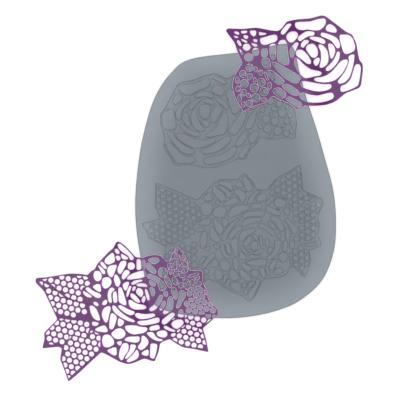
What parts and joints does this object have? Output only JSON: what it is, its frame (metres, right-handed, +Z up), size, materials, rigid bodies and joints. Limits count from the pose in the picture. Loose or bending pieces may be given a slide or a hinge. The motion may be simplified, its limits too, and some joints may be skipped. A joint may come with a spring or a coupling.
{
  "type": "silicone soap mould",
  "caption": "Flat silicone slab mould with shallow filigree flower cavities, and the thin lace castings it makes draped over two of its corners.",
  "frame": {"origin": "middle of the slab's flat underside, on the surface that it lies on", "axes": "+Z up out of the cavities, +Y along the slab towards its narrower rose end, +X across the slab to the right"},
  "size_m": [0.2309, 0.2579, 0.0072],
  "materials": {
    "silicone": "matte translucent silicone",
    "lace": "satin"
  },
  "bodies": {
    "mould": {"mould_slab": "silicone"},
    "rose_lace": {"rose_casting": "lace"},
    "spray_lace": {"spray_casting": "lace"}
  },
  "joints": [
    {"name": "rose_lace_lift", "type": "slide", "parent": "mould", "child": "rose_lace", "axis": [0, 0, 1], "range_m": [0, 0.06]},
    {"name": "spray_lace_lift", "type": "slide", "parent": "mould", "child": "spray_lace", "axis": [0, 0, 1], "range_m": [0, 0.06]}
  ]
}
